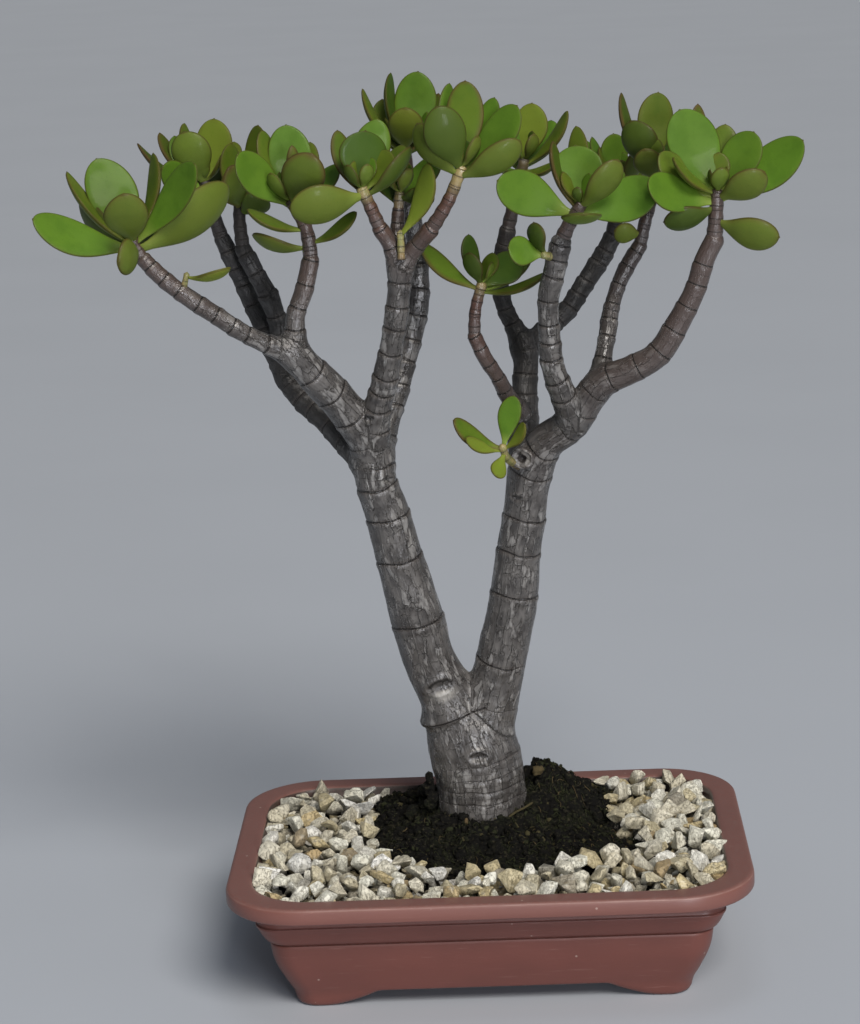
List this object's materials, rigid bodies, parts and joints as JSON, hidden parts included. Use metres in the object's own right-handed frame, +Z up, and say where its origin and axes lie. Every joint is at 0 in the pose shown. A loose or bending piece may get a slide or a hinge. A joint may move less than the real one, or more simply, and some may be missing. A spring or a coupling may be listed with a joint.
{
  "type": "jade bonsai in a footed pot",
  "caption": "Jade plant trained as a V-trunked bonsai with thick leaves in clusters, growing from a soil mound ringed with crushed stone in a shallow footed plastic pot",
  "frame": {"origin": "bottom centre of the bounding box, on the surface that the pot stands on; the middle of the pot is 20.5 mm along +X from it, because the canopy reaches further to the left", "axes": "+Z up, +Y from the front of the pot to its back, +X to the right seen from the front"},
  "size_m": [0.377, 0.2, 0.465],
  "materials": {
    "pot_plastic": "red-brown satin moulded plastic with faint scuffs and dust",
    "soil": "black-brown crumbly peat with fibres and moss strands",
    "gravel": "cream, ivory and tan crushed marble, dry and matt",
    "bark": "grey-brown smooth bark with ring scars and fine cracks, slightly glossy",
    "leaf": "waxy bright green with thin red-brown margins"
  },
  "bodies": {
    "root": {"pot": "pot_plastic", "soil": "soil", "gravel": "gravel", "trunk_and_left_limb": "bark", "right_limb": "bark", "rosette_a": "leaf", "rosette_b": "leaf", "rosette_c": "leaf", "rosette_d": "leaf", "rosette_e": "leaf", "rosette_f": "leaf", "rosette_g": "leaf", "rosette_h": "leaf", "rosette_i": "leaf", "rosette_j": "leaf", "rosette_k": "leaf", "rosette_l": "leaf", "rosette_m": "leaf", "rosette_n": "leaf", "rosette_o": "leaf", "leaf_pair": "leaf", "leaf_left": "leaf", "leaf_front": "leaf"}
  },
  "joints": []
}
